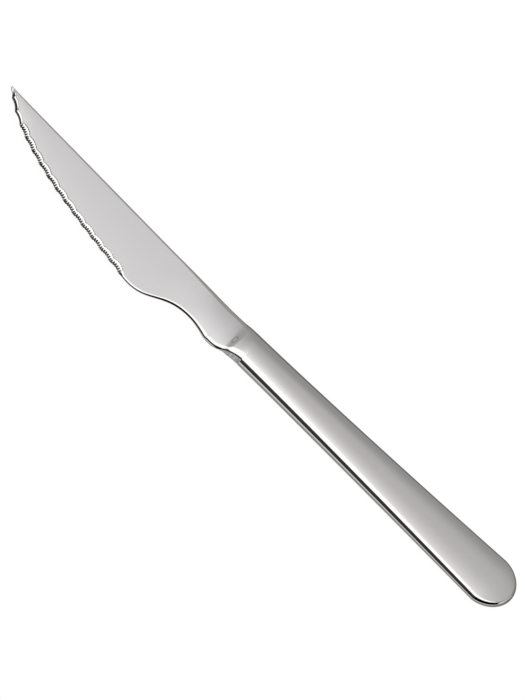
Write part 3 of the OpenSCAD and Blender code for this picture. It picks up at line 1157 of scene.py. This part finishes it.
studio = {
    "floorSize": 3.0,  # metres
    "floorTone": 0.93,
    "floorWhite": 0.9,
    "floorGlow": 1.05,
    # painted shadow of the knife on the floor, seen only by the steel: a glowing floor, darker close to
    # the knife and brighter further out, by its distance from the middle line towards the spine
    "reflectedFloorShade": [
        (-300, 0.85), (-60, 0.85), (-15, 0.8), (-11.5, 0.5), (-9, 0.4), (-6, 0.36), (0, 0.3), (6, 0.2),
        (50, 0.2), (300, 0.4),
    ],
    "strength": 1.6,
    # brightness by the angle from straight up, on the edge's side and on the spine's side
    "edgeSide": [
        (0, 0.77), (5, 0.84), (10, 1.0), (44, 1.0), (50, 0.03), (86, 0.02), (90, 0.4), (100, 0.5),
        (180, 0.5),
    ],
    "spineSide": [
        (0, 0.77), (3, 0.76), (6, 0.72), (8, 0.68), (10.5, 0.62), (15, 0.545), (20, 0.49), (28, 0.41),
        (34, 0.375), (40, 0.315), (45, 0.275), (50, 0.25), (90, 0.235), (180, 0.5),
    ],
    # the line between both sides leans towards the edge at the butt's end, and is this soft
    "sideLean": 0.05,
    "sideSoft": 0.04,
    # brightness taken off, by how far a direction points towards the butt
    "buttDark": [(-1.0, 0.0), (0.15, 0.0), (0.4, 0.03), (1.0, 0.03)],
    # pale patch beyond the butt: its turn from +X towards the spine, its rise, then its brightness by
    # the cosine of the angle from its middle
    "fillTurn": 12.0,
    "fillRise": 10.0,
    "buttFill": [(-1.0, 0.0), (0.9, 0.0), (0.925, 0.45), (0.965, 0.55), (1.0, 0.55)],
}


def makeFloor():
    bm = bmesh.new()
    bmesh.ops.create_grid(bm, x_segments=4, y_segments=4, size=studio["floorSize"] / 2)
    mesh = bpy.data.meshes.new("tableTop")
    bm.to_mesh(mesh)
    bm.free()
    floor = bpy.data.objects.new("tableTop", mesh)
    bpy.context.scene.collection.objects.link(floor)
    material, nodes, links, shader = newMaterial("paleTable")
    nodes.remove(shader)
    matt = nodes.new("ShaderNodeBsdfDiffuse")
    matt.inputs["Color"].default_value = (*[studio["floorTone"]] * 3, 1)
    white = nodes.new("ShaderNodeEmission")
    white.inputs["Strength"].default_value = studio["floorGlow"]
    path = nodes.new("ShaderNodeLightPath")
    seen = mathNode(nodes, "MULTIPLY", (1, studio["floorWhite"]))
    links.new(path.outputs["Is Camera Ray"], seen.inputs[0])
    paper = nodes.new("ShaderNodeMixShader")
    links.new(seen.outputs[0], paper.inputs[0])
    links.new(matt.outputs[0], paper.inputs[1])
    links.new(white.outputs[0], paper.inputs[2])
    shiny = mathNode(nodes, "MAXIMUM")
    links.new(path.outputs["Is Glossy Ray"], shiny.inputs[0])
    links.new(path.outputs["Is Transmission Ray"], shiny.inputs[1])
    # glossy and transmission rays see a glowing floor with a painted shadow near the knife instead of
    # the lit floor
    place = nodes.new("ShaderNodeTexCoord")
    split = nodes.new("ShaderNodeSeparateXYZ")
    links.new(place.outputs["Object"], split.inputs[0])
    low, high = studio["reflectedFloorShade"][0][0], studio["reflectedFloorShade"][-1][0]
    share = rangeNode(nodes, low * mm, high * mm)
    links.new(split.outputs["Y"], share.inputs["Value"])
    tone = rampOf(nodes, studio["reflectedFloorShade"], low, high)
    links.new(share.outputs["Result"], tone.inputs["Fac"])
    paintedFloorGlow = nodes.new("ShaderNodeEmission")
    links.new(tone.outputs["Color"], paintedFloorGlow.inputs["Color"])
    whole = nodes.new("ShaderNodeMixShader")
    links.new(shiny.outputs[0], whole.inputs[0])
    links.new(paper.outputs[0], whole.inputs[1])
    links.new(paintedFloorGlow.outputs[0], whole.inputs[2])
    links.new(whole.outputs[0], nodes["Material Output"].inputs["Surface"])
    paint(floor, material)


def makeSurroundings():
    world = bpy.data.worlds.new("studio")
    bpy.context.scene.world = world
    world.use_nodes = True
    nodes, links = world.node_tree.nodes, world.node_tree.links
    place = nodes.new("ShaderNodeTexCoord")
    split = nodes.new("ShaderNodeSeparateXYZ")
    turn = mathNode(nodes, "ARCCOSINE")
    share = mathNode(nodes, "MULTIPLY", (1, 1 / math.pi))
    front = rampOf(nodes, studio["edgeSide"], 0, 180)
    back = rampOf(nodes, studio["spineSide"], 0, 180)
    lean = mathNode(nodes, "MULTIPLY_ADD", (1, studio["sideLean"]))
    side = rangeNode(nodes, -studio["sideSoft"], studio["sideSoft"])
    both = nodes.new("ShaderNodeMix")
    toUnit = ((1, 0.5), (2, 0.5))  # times a half plus a half takes -1 to 1 into 0 to 1
    along = mathNode(nodes, "MULTIPLY_ADD", *toUnit)
    dark = rampOf(nodes, studio["buttDark"], -1, 1)
    fill = rampOf(nodes, studio["buttFill"], -1, 1)
    patch = Euler((0, -math.radians(studio["fillRise"]), math.radians(studio["fillTurn"])))
    toward = vectorNode(nodes, "DOT_PRODUCT", patch.to_matrix() @ Vector((1, 0, 0)))
    near = mathNode(nodes, "MULTIPLY_ADD", *toUnit)
    darkened = mathNode(nodes, "SUBTRACT")
    filled = mathNode(nodes, "MAXIMUM")
    sky = nodes["Background"]
    sky.inputs["Strength"].default_value = studio["strength"]
    links.new(place.outputs["Generated"], split.inputs[0])
    links.new(split.outputs["Z"], turn.inputs[0])
    links.new(turn.outputs[0], share.inputs[0])
    links.new(share.outputs[0], front.inputs["Fac"])
    links.new(share.outputs[0], back.inputs["Fac"])
    links.new(split.outputs["X"], lean.inputs[0])
    links.new(split.outputs["Y"], lean.inputs[2])
    links.new(lean.outputs[0], side.inputs["Value"])
    links.new(side.outputs["Result"], both.inputs[0])
    links.new(front.outputs["Color"], both.inputs[2])
    links.new(back.outputs["Color"], both.inputs[3])
    links.new(split.outputs["X"], along.inputs[0])
    links.new(along.outputs[0], dark.inputs["Fac"])
    links.new(place.outputs["Generated"], toward.inputs[0])
    links.new(toward.outputs["Value"], near.inputs[0])
    links.new(near.outputs[0], fill.inputs["Fac"])
    links.new(both.outputs[0], darkened.inputs[0])
    links.new(dark.outputs["Color"], darkened.inputs[1])
    links.new(darkened.outputs[0], filled.inputs[0])
    links.new(fill.outputs["Color"], filled.inputs[1])
    links.new(filled.outputs[0], sky.inputs["Color"])


# Camera on the edge's side of the knife, with places and distances in metres
shot = {
    "elevation": 62.0,
    "roll": 45.356,
    "lens": 245.0,
    "sensor": 36.0,
    "distance": 1.4944,
    "aim": (0.0017, 0.00329, 0.00462),
    "clip": (0.01, 20.0),
}


def makeCamera():
    data = bpy.data.cameras.new("photoCamera")
    data.lens = shot["lens"]
    data.sensor_width = shot["sensor"]
    data.clip_start, data.clip_end = shot["clip"]
    camera = bpy.data.objects.new("photoCamera", data)
    bpy.context.scene.collection.objects.link(camera)
    rise = math.radians(shot["elevation"])
    roll = math.radians(shot["roll"])
    back = Vector((0, -math.cos(rise), math.sin(rise)))
    level = Vector((0, math.sin(rise), math.cos(rise)))
    side = Vector((1, 0, 0))
    right = side * math.cos(roll) + level * math.sin(roll)
    up = level * math.cos(roll) - side * math.sin(roll)
    turn = Matrix((right, up, back)).transposed().to_4x4()
    camera.matrix_world = Matrix.Translation(Vector(shot["aim"]) + back * shot["distance"]) @ turn
    bpy.context.scene.camera = camera


makeFloor()
makeSurroundings()
makeCamera()
bpy.context.scene.view_settings.view_transform = "Standard"
print("studio set")
